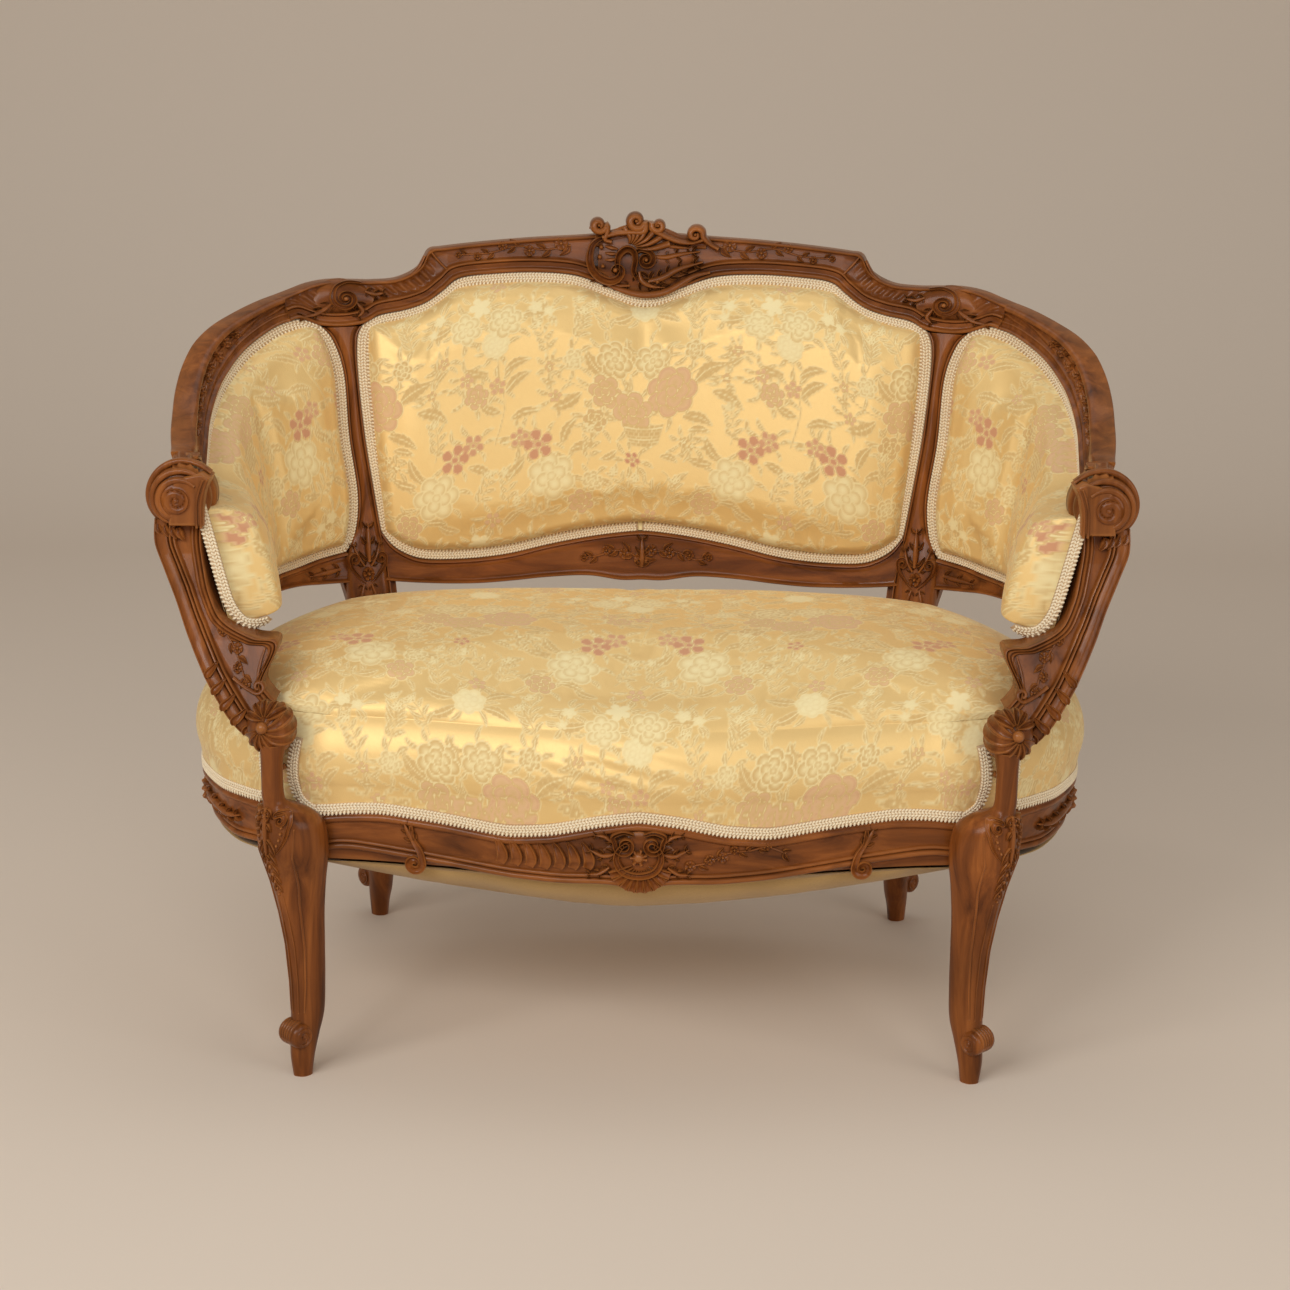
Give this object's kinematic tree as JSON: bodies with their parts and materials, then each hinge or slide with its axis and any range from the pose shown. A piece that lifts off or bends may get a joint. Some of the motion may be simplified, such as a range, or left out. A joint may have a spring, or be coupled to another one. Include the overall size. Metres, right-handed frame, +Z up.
{
  "type": "cabriole sofa",
  "caption": "Small carved show-wood settee with a basket-shaped back, scrolled arms, cabriole legs and sprung, braid-edged brocade upholstery.",
  "frame": {"origin": "on the floor, under the middle of the whole settee", "axes": "+X along the width, toward the right of the picture; +Y from the front feet to the back; +Z up"},
  "size_m": [1.165, 0.7236, 0.9878],
  "materials": {
    "walnut": "stained and waxed, satin",
    "raw_beech": "bare",
    "brocade": "satin ground with woven flowers",
    "braid": "looped braid",
    "jute": "coarse weave",
    "fibre": "curled fibre",
    "calico": "plain weave",
    "spring_steel": "bright drawn wire"
  },
  "bodies": {
    "root": {"crest_rail": "walnut", "right_top_rail": "walnut", "left_top_rail": "walnut", "right_arm_scroll": "walnut", "left_arm_scroll": "walnut", "right_arm_support": "walnut", "left_arm_support": "walnut", "right_front_leg": "walnut", "left_front_leg": "walnut", "right_rear_leg": "walnut", "left_rear_leg": "walnut", "front_seat_rail": "walnut", "right_side_seat_rail": "walnut", "left_side_seat_rail": "walnut", "rear_seat_rail": "walnut", "lower_back_rail": "walnut", "right_lower_side_rail": "walnut", "left_lower_side_rail": "walnut", "right_front_corner_block": "raw_beech", "left_front_corner_block": "raw_beech", "right_rear_corner_block": "raw_beech", "left_rear_corner_block": "raw_beech", "right_crest_dowel": "raw_beech", "left_crest_dowel": "raw_beech", "right_arm_dowel": "raw_beech", "left_arm_dowel": "raw_beech", "right_scroll_dowel": "raw_beech", "left_scroll_dowel": "raw_beech", "right_neck_dowel": "raw_beech", "left_neck_dowel": "raw_beech", "seat_cover": "brocade", "centre_back_pad": "brocade", "centre_outside_back": "brocade", "right_side_back_pad": "brocade", "left_side_back_pad": "brocade", "right_side_outside_back": "brocade", "left_side_outside_back": "brocade", "seat_front_braid": "braid", "centre_back_braid": "braid", "right_seat_side_braid": "braid", "left_seat_side_braid": "braid", "right_side_back_braid": "braid", "left_side_back_braid": "braid", "seat_webbing": "jute", "seat_hessian": "jute", "centre_back_lining": "jute", "right_side_back_lining": "jute", "left_side_back_lining": "jute", "seat_stuffing": "fibre", "dust_cover": "calico", "seat_spring_1": "spring_steel", "seat_spring_2": "spring_steel", "seat_spring_3": "spring_steel", "seat_spring_4": "spring_steel", "seat_spring_5": "spring_steel", "seat_spring_6": "spring_steel", "seat_spring_7": "spring_steel", "seat_spring_8": "spring_steel", "seat_spring_9": "spring_steel"}
  },
  "joints": []
}
